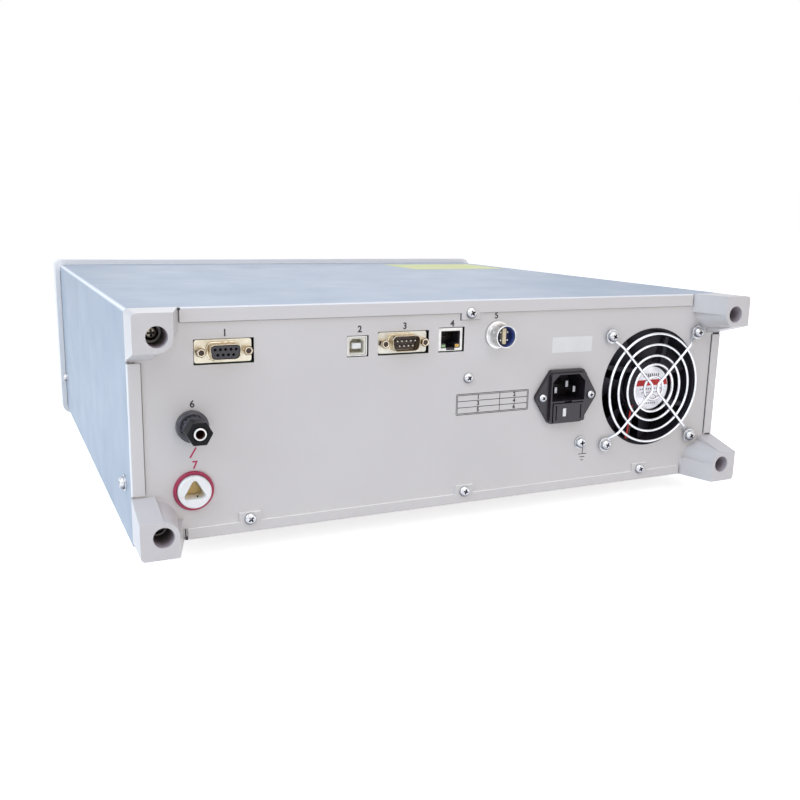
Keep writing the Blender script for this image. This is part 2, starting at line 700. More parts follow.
def makeWireTree():
    # Turns the edges of a mesh into round wire
    tree, given = newTree("wireAlongPaths", [
        ("Paths", "Geometry", None), ("Radius", "Float", 0.95), ("Sides", "Int", 12),
        ("Finish", "Material", None)])
    curves = addNode(tree, "GeometryNodeMeshToCurve", {"Mesh": given["Paths"]})
    profile = addNode(tree, "GeometryNodeCurvePrimitiveCircle", {
        "Resolution": given["Sides"], "Radius": given["Radius"]})
    wire = addNode(tree, "GeometryNodeCurveToMesh", {
        "Curve": curves.outputs["Curve"], "Profile Curve": profile.outputs["Curve"], "Fill Caps": True})
    done = addNode(tree, "GeometryNodeSetMaterial", {
        "Geometry": wire.outputs["Mesh"], "Material": given["Finish"]})
    addNode(tree, "NodeGroupOutput", {"Geometry": done.outputs["Geometry"]})
    return tree


pointTree, ringTree, wireTree = makePointTree(), makeRingTree(), makeWireTree()


def templateOf(name, shape):
    holder = bpy.data.objects.new(name, meshOf(name, shape))
    scene.collection.objects.link(holder)
    return holder


def onPoints(template, spots, finish, turn=0.0, seed=1):
    # spots are (place, axis) or (place, axis, size); the template is removed afterwards
    source = bpy.data.meshes.new("spots")
    source.from_pydata([tuple(spot[0]) for spot in spots], [], [])
    held = source.attributes.new("axis", "FLOAT_VECTOR", "POINT")
    held.data.foreach_set("vector", [c for spot in spots for c in spot[1]])
    held = source.attributes.new("size", "FLOAT", "POINT")
    held.data.foreach_set("value", [spot[2] if len(spot) > 2 else 1.0 for spot in spots])
    mesh = grow(pointTree, source, {"Template": template, "Turn": turn, "Seed": seed, "Finish": finish})
    bpy.data.objects.remove(template)
    return mesh


def inRing(template, start, count, finish):
    source = bpy.data.meshes.new("start")
    if start:
        start.to_mesh(source)
        start.free()
    mesh = grow(ringTree, source, {"Template": template, "Count": count, "Finish": finish})
    bpy.data.objects.remove(template)
    return mesh


def wires(paths, radius, finish, sides=12):
    # paths are (points, closed) pairs
    points, edges = [], []
    for path, closed in paths:
        first, last = len(points), len(points) + len(path) - 1
        points += [tuple(p) for p in path]
        edges += [(i, i + 1) for i in range(first, last)] + ([(last, first)] if closed else [])
    source = bpy.data.meshes.new("paths")
    source.from_pydata(points, edges, [])
    return grow(wireTree, source, {"Radius": radius, "Sides": sides, "Finish": finish})


def bentPath(corners, radius):
    # A path through 3-D corners with each inner corner rounded
    steps = 6
    path = [Vector(corners[0])]
    for back, at, ahead in zip(corners, corners[1:], corners[2:]):
        at = Vector(at)
        toBack, toAhead = Vector(back) - at, Vector(ahead) - at
        reach = min(radius, toBack.length * 0.45, toAhead.length * 0.45)
        start, end = at + toBack.normalized() * reach, at + toAhead.normalized() * reach
        path += [(1 - t) ** 2 * start + 2 * t * (1 - t) * at + t * t * end
                 for t in (k / steps for k in range(steps + 1))]
    return path + [Vector(corners[-1])]


# Case: sheet, panel, bezel and the moulded corners
case = {"foldEdge": 0.2, "fold": 1.15, "panelEdge": 0.12, "mouldEdge": 0.7, "bezelEdge": 0.8, "width": 395.0,
        "height": 125.0, "boreAt": 11.7, "boreRadius": 5.38, "boreOut": (5.0, 23.5)}


def makeCase():
    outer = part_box("top_cover")[1]

    def bent(a, b):
        # True on an edge of the cover that lies in two of its three outer planes
        gaps = [[abs(abs(p.x) - outer.x), abs(p.z - outer.z), abs(p.y - outer.y)] for p in (a, b)]
        return sum(max(pair) < 0.02 * mm for pair in zip(*gaps)) > 1

    finished("cover", softened("top_cover", case["foldEdge"], fold=(bent, case["fold"])), coverPaint,
             ["top_cover"])
    finished("floorSheet", softened("bottom_cover", case["foldEdge"], 1), panelPaint,
             ["bottom_cover"])
    finished("rearPlate", softened("rear_panel", case["panelEdge"], 1), cutPanelPaint,
             ["rear_panel"])
    for spot in ("upper_right", "upper_left", "lower_right", "lower_left"):
        node = "corner_foot_" + spot
        finished("cornerFoot." + spot, softened(node, case["mouldEdge"], 3), footPlastic,
                 [node])
    (low, high), r, at = case["boreOut"], case["boreRadius"], case["boreAt"]
    bores = [shifted(spin([(r - 0.08, low), (r, low), (r, high), (r - 0.08, high)], 48, closed=True), u, h)
             for u in (at, case["width"] - at) for h in (at, case["height"] - at)]
    finished("cornerFootBores", joined(bores), boreShade, (), onPanel(0, 0))
    finished("bezel", softened("front_bezel", case["bezelEdge"], 3), bezelPlastic,
             ["front_bezel"])
    finished("frontPlate", softened("front_panel", 0.3), panelAnodised, ["front_panel"])


makeCase()
print("case made")

# Screws: pan heads with a cross recess, some on washers
screw = {"dome": 0.36, "armLength": 0.56, "armWidth": 0.16, "depth": 0.3, "widerThan": 8.2, "onWasher": 7.0,
         "washerThick": 0.094, "washerHole": 0.21}


def panHead():
    # Head of unit diameter, standing on z = 0; the attribute recess marks its cross
    tall = screw["dome"]
    head = lathe([(0, -0.05), (0.5, -0.05), (0.5, tall * 0.95, 0.24), (0, tall)], 7, 32)
    arms = []
    for turn in (0, 90):
        top, low = screw["armLength"] / 2, screw["armLength"] / 4
        wide, deep = screw["armWidth"] / 2, tall - screw["depth"]
        arm = skin([[(-low, -wide * 0.7, deep), (low, -wide * 0.7, deep), (low, wide * 0.7, deep),
                     (-low, wide * 0.7, deep)],
                    [(-top, -wide, tall + 0.1), (top, -wide, tall + 0.1), (top, wide, tall + 0.1),
                     (-top, wide, tall + 0.1)]])
        arms.append(moved(arm, Matrix.Rotation(math.radians(turn), 4, "Z")))
    mesh = carve(head, joined(arms))
    marks = mesh.attributes.new("recess", "FLOAT", "FACE")
    inside = [f.center.xy.length < 0.3 and 0 < f.center.z < tall * (1 - 0.1 * f.center.xy.length) - 0.012
              for f in mesh.polygons]
    marks.data.foreach_set("value", [float(held) for held in inside])
    return mesh


def screwSpots(node, axisOf):
    # Place, axis and size of each head's underside and of each washer, from the node's own
    # solids; a solid that is wider than a head is a washer with a head on it
    heads, washers = [], []
    for low, high in islands(node):
        size, centre = high - low, (low + high) / 2
        axis = Vector(axisOf(centre))
        along = max(range(3), key=lambda i: abs(axis[i]))
        across = max(size[i] for i in range(3) if i != along)
        wide = across > screw["widerThan"] * mm
        diameter = screw["onWasher"] * mm if wide else across
        base = Vector(centre)
        base[along] = (high if axis[along] > 0 else low)[along] - axis[along] * diameter * screw["dome"]
        heads.append((base, axis, diameter))
        if wide:
            washers.append((base, axis, across))
    return heads, washers


def makeScrews():
    def backwards(at):
        return 0, 1, 0

    def sideways(at):
        return (0, 1, 0) if abs(at.x) < sideX - 4 * mm else (math.copysign(1, at.x), 0, 0)

    for name, node, axisOf, finish in (("coverScrew", "cover_screws", sideways, screwZinc),
                                       ("panelScrew", "panel_screws", backwards, screwZinc),
                                       ("fanScrew", "fan_screws", backwards, screwZinc),
                                       ("cornerScrew", "corner_foot_screws", backwards, darkZinc),
                                       ("inletScrew", "inlet_screws", backwards, screwZinc)):
        heads, washers = screwSpots(node, axisOf)
        mesh = onPoints(templateOf("panHead", panHead()), heads, finish, 2 * math.pi, len(node))
        finished(name + "Heads", mesh, finish, [node])
        if washers:
            thick, hole = screw["washerThick"], screw["washerHole"]
            ring = spin(outline([(hole, -thick), (0.5, -thick), (0.5, 0, 0.03), (hole, 0, 0.02)], 3,
                                closed=False), 40, closed=True)
            finished(name + "Washers", onPoints(templateOf("washer", ring), washers, zinc), zinc)


makeScrews()
print("screws made")

# Fan: guard, rotor, labelled motor base and its leads
fan = {"ringRadii": (7.7, 15.9, 21.8, 29.1, 36.3), "wire": 0.88, "ringOut": 3.5, "armTop": 0.25,
       "armFrom": 3.2, "bendAt": 40.0, "footBack": 5.3, "loopRadius": 3.3, "panel": -1.5, "baseTop": -0.4,
       "baseRadius": 16.8, "ductRadius": 38.4, "strutTurn": 261, "leadSide": 9.1, "leadRadius": 0.65,
       "leadOut": -1.15, "blades": 7, "hubRadius": 17.2, "tipRadius": 37.2, "twist": 38, "bladeThick": 1.1,
       "labelRadius": 14.5, "labelShift": (2.0, -1.0), "cupDeep": 16.5, "cupWall": 1.6,
       "bladeSpan": (0.6, 15.7), "ticks": ((8.6, 8, 2.2), (-0.6, 11, 1.0), (-3.0, 9, 0.9), (-10.4, 6, 1.1)),
       "inkOut": 0.13, "barFrom": 1.6, "barTo": 5.6}


def makeGuard():
    # Rings, a loop round each screw, and two bent wires that lie over the rings
    low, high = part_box("fan_guard")
    reach = (high.x - low.x) / 2 / mm - fan["loopRadius"] - fan["wire"]
    screwAt = reach * math.sqrt(2)
    wire, ringOut = fan["wire"], fan["ringOut"]
    armOut = ringOut + 2 * wire - fan["armTop"]
    paths = [([(p.x, p.y, ringOut) for p in circle(r, 96)], True) for r in fan["ringRadii"]]
    for side in (0, 180):
        bends = []
        for angle in (45, -45):
            turn = Matrix.Rotation(math.radians(side + angle), 3, "Z")
            bends.append([turn @ Vector((r, 0, z)) for r, z in (
                (screwAt - fan["loopRadius"] + 0.2, wire), (screwAt - fan["footBack"], wire),
                (fan["bendAt"], armOut), (fan["armFrom"], armOut))])
            paths.append(([turn @ Vector((screwAt + p.x, p.y, wire)) for p in circle(fan["loopRadius"], 36)],
                          True))
        paths.append((bentPath(bends[0] + bends[1][::-1], 2.2), False))
    finished("fanGuardWires", wires(paths, wire, guardChrome, 14), guardChrome, ["fan_guard"],
             atRear("fan_guard"), sharp=60)


def fanBlade(low, high):
    # One blade as a closed skin: chord along z, thin at its edges, swept by the twist
    chordSteps, spanSteps = 10, 8
    rows = []
    for k in range(spanSteps + 1):
        r = fan["hubRadius"] - 0.4 + (fan["tipRadius"] - fan["hubRadius"] + 0.4) * k / spanSteps
        ring = []
        for side in (1, -1):
            for c in range(chordSteps + 1):
                s = c / chordSteps if side == 1 else 1 - c / chordSteps
                thick = fan["bladeThick"] * (0.15 + 0.85 * math.sqrt(max(0, 1 - (2 * s - 1) ** 2))) / 2
                angle = math.radians(-fan["twist"] * s + 3 * math.sin(math.pi * s)) + side * thick / r
                ring.append((r * math.cos(angle), r * math.sin(angle), low + (high - low) * s))
        rows.append(ring)
    return skin(rows)


def makeRotor():
    place = atRear("fan_rotor")
    back = (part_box("fan_rotor")[0].y - rearY) / mm
    cupTop, radius = back + fan["cupDeep"], fan["hubRadius"]
    start, end = (back + value for value in fan["bladeSpan"])
    finished("fanBlades",
             inRing(templateOf("blade", fanBlade(start, end)), None, fan["blades"], bladePlastic),
             bladePlastic, ["fan_rotor"], place, body="fan_rotor", sharp=50)
    wall = fan["cupWall"]
    hub = lathe([(0, back), (radius, back, wall), (radius, cupTop, 0.4), (radius - wall, cupTop, 0.4),
                 (radius - wall, back + wall), (0, back + wall)], 4, 72)
    finished("fanHub", hub, bladePlastic, (), place, body="fan_rotor")


def makeFanLabel():
    # A silver disc with a red bar, a ring and rows of plain ticks, in a layout of its own
    spot = middle("fan_guard")
    right, up = fan["labelShift"]
    place = rearSpot(spot.x - right * mm, spot.z + up * mm, fan["panel"] + fan["baseTop"])
    r = fan["labelRadius"]
    finished("fanLabel", slab(circle(r, 96), -0.02, 0.1, 0.05), silverLabel, (), place)
    lift, low, high = fan["inkOut"], fan["barFrom"], fan["barTo"]
    band = [Vector((side * math.sqrt((r - 0.2) ** 2 - y * y), y))
            for side, y in ((-1, low), (1, low), (1, high), (-1, high))]
    finished("fanLabelBar", slab(band, 0.09, lift), redInk, (), place)
    ticks = [bar(0.8, tall, (i - (count - 1) / 2) * 1.7, y, lift)
             for y, count, tall in fan["ticks"] for i in range(count)]
    ring = loft(circle(5.2, 72), [(0, 0.09), (0, lift), (0.4, lift), (0.4, 0.09)], closed=True)
    ring.transform(Matrix.Translation((0, -6.6, 0)) @ Matrix.Scale(0.45, 4, (0, 1, 0)))
    finished("fanLabelMarks", joined(ticks + [ring]), darkInk, (), place)


def makeFanLeads():
    # Two sleeved leads laid along a strut, from the motor's base down to the duct
    turn = Matrix.Rotation(math.radians(fan["strutTurn"] - 90), 4, "Z")
    for name, finish, side, replaced in (("fanLeadRed", redWire, 0.75, ["fan_leads"]),
                                         ("fanLeadBlack", blackWire, -0.75, [])):
        x = fan["leadSide"] + side
        start = math.sqrt(fan["baseRadius"] ** 2 - x * x) + 0.2
        end = math.sqrt(fan["ductRadius"] ** 2 - x * x) - 0.5
        path = [(x + 0.25 * math.sin(math.pi * i / 8), start + (end - start) * i / 16, fan["leadOut"])
                for i in range(17)]
        mesh = wires([(path, False)], fan["leadRadius"], finish)
        mesh.transform(turn)
        finished(name, mesh, finish, replaced, atRear("fan_guard", fan["panel"]), sharp=60)


makeGuard()
makeRotor()
makeFanLabel()
makeFanLeads()
print("fan made")

# High-voltage outlet and ground post
outlet = {"ringOuter": 10.8, "ringInner": 9.1, "ringOut": 1.6, "discRadius": 8.85, "discOut": 4.3,
          "lobeReach": 4.4, "lobeRadius": 1.6, "recess": -13.0, "contactTop": -6.0,
          "studAt": (1.9, -3.1, 0.4), "studRadius": 0.45, "back": -22.0}


def threeLobes(reach, radius):
    corners = [(reach + radius) * Vector((math.cos(a), math.sin(a)))
               for a in (math.radians(90 + 120 * i) for i in range(3))]
    stretch = (reach + 2 * radius) / (reach + radius)
    return outline([(c.x * stretch, c.y * stretch, radius) for c in corners], 10)


def makeOutlet():
    place = atRear("hv_insulator")
    ring = lathe([(outlet["ringInner"], 0.02), (outlet["ringOuter"], 0.02),
                  (outlet["ringOuter"], outlet["ringOut"], 0.6),
                  (outlet["ringInner"], outlet["ringOut"], 0.3)], 5, 96, closed=True)
    finished("outletRing", ring, crimsonPlastic, ["hv_ring"], place)
    out, radius = outlet["discOut"], outlet["discRadius"]
    disc = lathe([(0, outlet["back"]), (radius, outlet["back"]), (radius, out, 0.8), (0, out)], 6, 96)
    walls = [(0, outlet["recess"]), (0, out - 0.9), (-0.15, out - 0.4), (-0.6, out + 0.1), (-0.6, out + 2)]
    recess = loft(threeLobes(outlet["lobeReach"], outlet["lobeRadius"]), walls)
    finished("outletInsulator", carve(disc, recess), whiteInsulator, ["hv_insulator"], place)
    contact = slab(threeLobes(outlet["lobeReach"] - 0.1, outlet["lobeRadius"] - 0.1), outlet["recess"],
                   outlet["contactTop"], 0.5)
    finished("outletContact", contact, tanResin, ["hv_contact"], place)
    r = outlet["studRadius"]
    stud = lathe([(0, -0.8), (r, -0.8), (r, 0.25, 0.2), (0, 0.35)], 3, 20)
    stud.transform(Matrix.Translation(outlet["studAt"]) @ Matrix.Rotation(math.radians(-90), 4, "X"))
    finished("outletStud", stud, brownPlastic, (), place)


post = {"collarRadius": 8.5, "collarOut": 4.6, "stemRadius": 3.4, "stemOut": 20.4, "boreRadius": 2.2,
        "skirtRadius": 6.45, "skirtFrom": 5.0, "hexFrom": 11.0, "hexTo": 20.0, "hexCorner": 6.7, "ribs": 18,
        "bushFrom": 7.2, "bushTo": 15.8, "bushRadius": 4.6, "nutReach": 5.1}


def makeGroundPost():
    place = atRear("ground_post_base")
    stem, out, bore = post["stemRadius"], post["stemOut"], post["boreRadius"]
    radius, lift = post["collarRadius"], post["collarOut"]
    collar = lathe([(stem, 0.02), (radius, 0.02), (radius, lift, 1.3), (6.4, lift, 0.2),
                    (6.2, lift - 0.7, 0.2), (stem, lift - 0.7)], 6, 72, closed=True)
    finished("postCollar", collar, glossCharcoal, (), place)
    core = lathe([(0, -14), (stem, -14), (stem, out, 0.5), (bore + 0.25, out, 0.15), (bore, out - 0.5),
                  (bore, out - 15), (0, out - 15.8)], 5, 64)
    low, rim = out - 14.9, bore + 0.02
    spring = lathe([(rim - 0.18, low), (rim, low), (rim, out - 0.7), (rim - 0.18, out - 0.9)], 2, 48,
                   closed=True)
    bottom = spin([(0, low), (rim, low), (rim, low + 0.7), (0, low + 0.7)], 48)
    nut = joined([slab(hexagon(post["nutReach"]), -9.5, -5.6, 0.4, 0.4),
                  lathe([(3.5, -5.5), (8.4, -5.5), (8.4, -1.55, 0.4), (3.5, -1.55)], 4, 64, closed=True)])
    finished("postStem", core, nickel, ["ground_post_base"], place)
    finished("postSpring", joined([spring, bottom]), springBronze, (), place)
    finished("postNut", nut, nickel, (), place)
    start, end, wide = post["bushFrom"], post["bushTo"], post["bushRadius"] - 0.05
    bush = lathe([(stem + 0.05, start), (wide, start, 0.3), (wide, end, 0.3), (stem + 0.05, end)], 3, 48,
                 closed=True)
    finished("postBush", bush, brass, ["ground_post_bush"], place, body="ground_post_bush")

    start, end, top = post["skirtFrom"], post["hexFrom"], post["hexTo"]
    grip = loft(hexagon(post["hexCorner"] * 1.02, 0.7),
                [(0.25, end - 0.3), (0, end), (0, top - 0.6), (0.2, top - 0.2), (0.6, top)])
    skirt = lathe([(wide + 0.1, start), (post["skirtRadius"], start, 0.3), (post["skirtRadius"], end, 0.5),
                   (wide + 0.1, end)], 4, 72, closed=True)
    rib = loft(rectangle(0.9, 0.95, 0.25, 2), [(0.15, start + 0.5), (0, start + 0.8), (0, end - 1.2),
                                               (0.3, end - 0.6)])
    shifted(rib, post["skirtRadius"] + 0.02, 0)
    ribbed = inRing(templateOf("postRib", rib), skirt, post["ribs"], glossCharcoal)
    hollow = lathe([(0, start - 1), (stem + 0.06, start - 1), (stem + 0.06, top - 0.6), (4.3, top + 0.2),
                    (4.3, top + 2), (0, top + 2)], 3, 48)
    room = spin([(0, start - 1), (wide + 0.07, start - 1), (wide + 0.07, 16), (0, 16)], 48)
    finished("postSkirt", ribbed, glossCharcoal, (), place, body="ground_post_knob")
    finished("postGrip", carve(grip, joined([hollow, room])), glossBlack,
             ["ground_post_knob"], place, body="ground_post_knob")


makeOutlet()
makeGroundPost()
print("high-voltage side made")

# Foot-switch socket
socket = {"flange": 8.5, "flangeOut": 2.4, "tube": 6.85, "tubeOut": 11.0, "bore": 6.1, "liner": 5.6,
          "studRadius": 0.75, "pins": 4, "pinsAt": 3.4, "keySize": (2.6, 9.6, 0.6), "keyOut": 8.4}


def makeFootSocket():
    place = atRear("foot_socket_shell")
    tube, out, bore, lift = socket["tube"], socket["tubeOut"], socket["bore"], socket["flangeOut"]
    shell = lathe([(5.4, -10), (7.1, -10), (7.1, 0.02), (socket["flange"], 0.02),
                   (socket["flange"], lift - 0.5, 0.4), (7.8, lift, 0.3), (tube + 0.1, lift, 0.2),
                   (tube, lift + 1, 0.3), (tube, out, 0.3), (bore, out, 0.25), (bore, 2.5), (5.4, 2.5)], 4,
                  96, closed=True)
    finished("footSocketShell", shell, brushedNickel, ["foot_socket_shell"], place)
    stud = lathe([(0, -0.5), (socket["studRadius"], -0.5), (socket["studRadius"], 0.5, 0.2), (0, 0.5)], 3, 20)
    spots = [(Vector((tube * math.cos(a), tube * math.sin(a), 6.4)), (math.cos(a), math.sin(a), 0))
             for a in (math.radians(160), math.radians(340))]
    finished("footSocketStuds", onPoints(templateOf("stud", stud), spots, nickel), nickel, (),
             place)
    nut = lathe([(7.15, -5.4), (8.6, -5.4, 0.3), (8.6, -1.55), (7.15, -1.55)], 3, 48, closed=True)
    finished("footSocketNut", nut, nickel, (), place)
    rim, liner = bore - 0.05, socket["liner"]
    body = lathe([(0, -9.5), (5.35, -9.5, 0.3), (5.35, 2.4), (rim, 2.6), (rim, 9.8), (liner, 9.8, 0.2),
                  (liner, 4.1, 0.3), (0, 4.1)], 5, 72)
    finished("footSocketInsert", body, bluePlastic, ["foot_socket_insert"], place)
    key = slab(rectangle(*socket["keySize"]), 4.0, socket["keyOut"], 0.3)
    finished("footSocketKey", key, creamPlastic, (), place)
    pin = lathe([(0, 0), (0.7, 0), (0.7, 4.2, 0.6), (0, 4.2)], 4, 20)
    spots = [(Vector((socket["pinsAt"] * math.cos(a), socket["pinsAt"] * math.sin(a), 4.05)), (0, 0, 1))
             for a in (math.radians(45 + 360 / socket["pins"] * i) for i in range(socket["pins"]))]
    finished("footSocketPins", onPoints(templateOf("pin", pin), spots, nickel), nickel, (), place)


makeFootSocket()
print("foot-switch socket made")

# Nine-way ports: swaged flange, D-shaped shell, insert, and hexagonal posts
nineWay = {"flange": (30.8, 12.5, 1.5), "flangeLow": -2.4, "flangeHigh": -1.5, "screwPitch": 25.0,
           "pitch": 2.77, "rowGap": 2.84, "shellOut": 4.6, "sheet": 0.42, "postAcross": 5.4, "postOut": 3.5,
           "canSize": (30.0, 11.6, 0.6), "canDrop": -0.7, "canBack": -14.0}


def dShape(width, height, radius):
    # Wider at the top, its sides leaning 10 degrees
    slant = (height - 2 * radius) * math.tan(math.radians(10))
    x, y = width / 2, height / 2
    top = (x + radius * 0.08, y, radius)
    low = (x - slant - radius * 0.12, -y, radius)
    return outline([top, (-top[0], top[1], radius), (-low[0], low[1], radius), low], 7)


def contactSpots(height):
    pitch, half = nineWay["pitch"], nineWay["rowGap"] / 2
    return ([(Vector(((i - 2) * pitch, half, height)), (0, 0, 1)) for i in range(5)]
            + [(Vector(((i - 1.5) * pitch, -half, height)), (0, 0, 1)) for i in range(4)])


def screwHoles(radius, low, high):
    hole, half = [(0, low), (radius, low), (radius, high), (0, high)], nineWay["screwPitch"] / 2
    return [shifted(spin(hole, 28), side * half, 0) for side in (-1, 1)]


def makeNineWay(name, node, shellSize, plate, rim, flared):
    place = rearSpot(middle(node + "_shell").x, middle("jack_screws").z)
    low, high = nineWay["flangeLow"], nineWay["flangeHigh"]
    inner = dShape(shellSize[0] - 1.0, shellSize[1] - 1.0, shellSize[2] - 0.4)
    holes = [loft(inner, [(0, low - 1), (0, high + 1)])] + screwHoles(1.6, low - 1, high + 1)
    flange = carve(slab(rectangle(*nineWay["flange"]), low, high, 0.18, 0.18), joined(holes))
    finished(name + "Flange", flange, plate, (), place)
    sheetThick, out = nineWay["sheet"], nineWay["shellOut"]
    swage = [(-1.0, high - 0.02), (-0.75, high + 0.3), (-0.2, high + 0.42), (0, high + 0.8)] if flared else [
        (-0.6, high - 0.02), (-0.45, high + 0.25), (-0.1, high + 0.35), (0, high + 0.6)]
    lip = [(0, out - 0.25), (0.1, out - 0.05), (sheetThick / 2, out), (sheetThick - 0.1, out - 0.05),
           (sheetThick, out - 0.25), (sheetThick, low + 0.1)]
    shell = loft(dShape(*shellSize), [(-1.0 if flared else -0.6, low + 0.1)] + swage + lip, closed=True)
    finished(name + "Shell", shell, rim, [node + "_shell"], place)
    can = slab(rectangle(*nineWay["canSize"]), nineWay["canBack"], low - 0.02, 0.3, 0.3)
    shifted(can, 0, nineWay["canDrop"])
    finished(name + "Can", can, tinPlate, (), place)
    return place


def boredHexagon(across, low, high, bore):
    # Hexagonal post whose inner rings spread from the hexagon's own points into a countersunk bore
    path = hexagon(across, 0.25, 2, 0.26)
    rings = [[(p.x, p.y, z) for p in inset(path, amount)]
             for amount, z in ((0.1, low), (0, low + 0.2), (0, high - 0.6), (0.45, high))]
    rings += [[(r * p.normalized().x, r * p.normalized().y, z) for p in path]
              for r, z in ((bore + 0.3, high), (bore, high - 0.35), (bore, low + 0.6))]
    return skin(rings)


def makePorts():
    low, high = nineWay["flangeLow"] + 0.1, nineWay["flangeHigh"]
    place = makeNineWay("handlerPort", "handler", (16.6, 8.2, 2.5), yellowZinc, shellGold, True)
    top = nineWay["shellOut"] - 0.3
    hole = [(0, low - 1), (0.62, low - 1), (0.62, top - 0.25), (0.9, top + 0.1), (0.9, top + 1), (0, top + 1)]
    holes = [shifted(spin(hole, 20), *spot[0]) for spot in contactSpots(0)]
    finished("handlerPortInsert", carve(slab(dShape(15.4, 7.0, 2.0), low, top, 0.25), joined(holes)),
             charcoalPlastic, ["handler_insert"], place)
    place = makeNineWay("serialPort", "serial", (17.8, 9.2, 2.8), tinPlate, shellGold, False)
    finished("serialPortInsert", slab(dShape(16.6, 8.0, 2.3), low, high + 0.5, 0.2), brownPlastic,
             ["serial_insert"], place)
    pin = lathe([(0, 0), (0.5, 0), (0.5, 5.2, 0.45), (0, 5.2)], 4, 16)
    mesh = onPoints(templateOf("pin", pin), contactSpots(high + 0.45), tinPlate)
    finished("serialPortPins", mesh, tinPlate, (), place)

    across, out = nineWay["postAcross"] / 2, nineWay["postOut"]
    core = lathe([(0, high + 0.7), (1.34, high + 0.7), (1.34, out - 1.0), (0.9, out - 1.2, 0.1),
                  (0, out - 2.0)], 2, 28)
    for name, shape, finish, replaced in (
            ("portPosts", boredHexagon(across, high, out, 1.35), postBrass, ["jack_screws"]),
            ("portPostThreads", core, brownPlastic, ())):
        template = templateOf("post", shape)
        template.data.transform(Matrix.Scale(mm, 4))
        half, z = nineWay["screwPitch"] / 2 * mm, middle("jack_screws").z
        spots = [(Vector((middle(node).x + side * half, rearY, z)), (0, 1, 0))
                 for node in ("handler_shell", "serial_shell") for side in (-1, 1)]
        finished(name, onPoints(template, spots, finish, math.pi / 3, 7), finish, replaced)


makePorts()

# Square bus port, network port and their contacts
jack = {"contacts": 8, "contactPitch": 1.02, "window": (2.7, 1.7, 0.3), "windowAt": (4.5, -3.8),
        "windowOut": (-2.2, -1.12), "frame": (10.7, 9.9, 0.5), "frameOut": (-15.2, -1.0),
        "tongue": (5.6, 3.2, 0.3), "tongueOut": (-13.0, -1.6), "can": (16.0, 13.8, 0.6),
        "opening": (12.6, 10.2, 0.3), "notch": (5.6, 1.4), "canWall": 0.5,
        "frameOpening": ((-4.2, -3.9), (4.2, -3.9), (4.2, 2.2), (2.6, 3.9), (-2.6, 3.9), (-4.2, 2.2))}


def makeJacks():
    finished("busPortShell", softened("usb_shell", 0.18, 3), nickel, ["usb_shell"])
    place = atRear("usb_shell")
    low, high = jack["frameOut"]
    opening = outline([(x, y, 0.3) for x, y in jack["frameOpening"]], 3)
    frame = carve(slab(rectangle(*jack["frame"]), low, high, 0.2),
                  loft(opening, [(0, low + 5), (0, high - 0.5), (-0.45, high + 0.05), (-0.45, high + 1)]))
    finished("busPortInsert", frame, ivoryPlastic, ["usb_tongue"], place)
    finished("busPortTongue", slab(rectangle(*jack["tongue"]), *jack["tongueOut"], 0.35), tongueWhite,
             (), place)
    place = atRear("lan_shell")
    back, high = ((value.y - rearY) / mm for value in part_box("lan_shell"))
    wall, (width, height, corner) = jack["canWall"], jack["opening"]
    (across, drop), foot = jack["notch"], -height / 2
    x = across / 2
    mouth = outline([(-x, foot - drop, 0.2), (x, foot - drop, 0.2), (x, foot, 0.2), (width / 2, foot, corner),
                     (width / 2, height / 2, corner), (-width / 2, height / 2, corner),
                     (-width / 2, foot, corner), (-x, foot, 0.2)], 3)
    plate = carve(slab(rectangle(*jack["can"]), high - 0.6, high, 0.2),
                  loft(mouth, [(0, high - 2), (0, high + 1)]))
    can = loft(rectangle(*jack["can"]), [(0, back), (0, high - 0.59), (wall, high - 0.59), (wall, back)],
               closed=True)
    finished("networkPortShell", plate, nickel, ["lan_shell"], place)
    finished("networkPortCan", can, nickel, (), place)
    finished("networkPortInsert", softened("lan_insert", 0.12, 2), blackPlastic,
             ["lan_insert"])
    x, y = jack["windowAt"]
    for name, side, finish, slot in (("networkLampGreen", -1, greenLamp, "green_plastic"),
                                     ("networkLampAmber", 1, amberLamp, "ivory_plastic")):
        window = slab(rectangle(*jack["window"]), *jack["windowOut"], 0.15)
        shifted(window, side * x, y)
        finished(name, window, finish, (), place)
    strip = wires([([(0, 4.2, -13.5), (0, 3.8, -10), (0, 1.6, -6.6), (0, 1.2, -5.8)], False)], 0.16, gold, 6)
    contact = bmesh.new()
    contact.from_mesh(strip)
    spots = [(Vector(((i - (jack["contacts"] - 1) / 2) * jack["contactPitch"], 0, 0)), (0, 0, 1))
             for i in range(jack["contacts"])]
    finished("networkContacts", onPoints(templateOf("contact", contact), spots, gold), gold, (),
             place)


makeJacks()
print("ports made")

# Mains inlet and its fuse drawer
inlet = {"edge": 0.4, "barSize": (2.7, 5.3, 0.3), "barAt": (-2.9, 0.3), "barOut": (5.2, 5.62),
         "fuseRadius": 2.6, "capLength": 5.2, "drawer": (22.6, 12.2, 0.8, 2.2), "drawerOut": (3.0, 5.9),
         "drawerBack": -17.0, "grooveAt": 9.3, "groove": (0.8, 9.4), "window": (2.8, 5.4),
         "tab": (5.0, 1.9), "bays": (-12.8, -4.4), "bay": (20.6, 12.2, 6.4), "socketUp": 15.9,
         "centre": (268.0, 62.1), "seatX": (11.0, 13.9), "seatY": (13.5, 15.95),
         "pins": ((-7, -2, 0.9), (0, 2, 2.5), (7, -2, 0.9)), "pin": (2.0, 4.0, 0.3), "pinBack": -30.5,
         "seatOut": (-0.3, 0.03)}


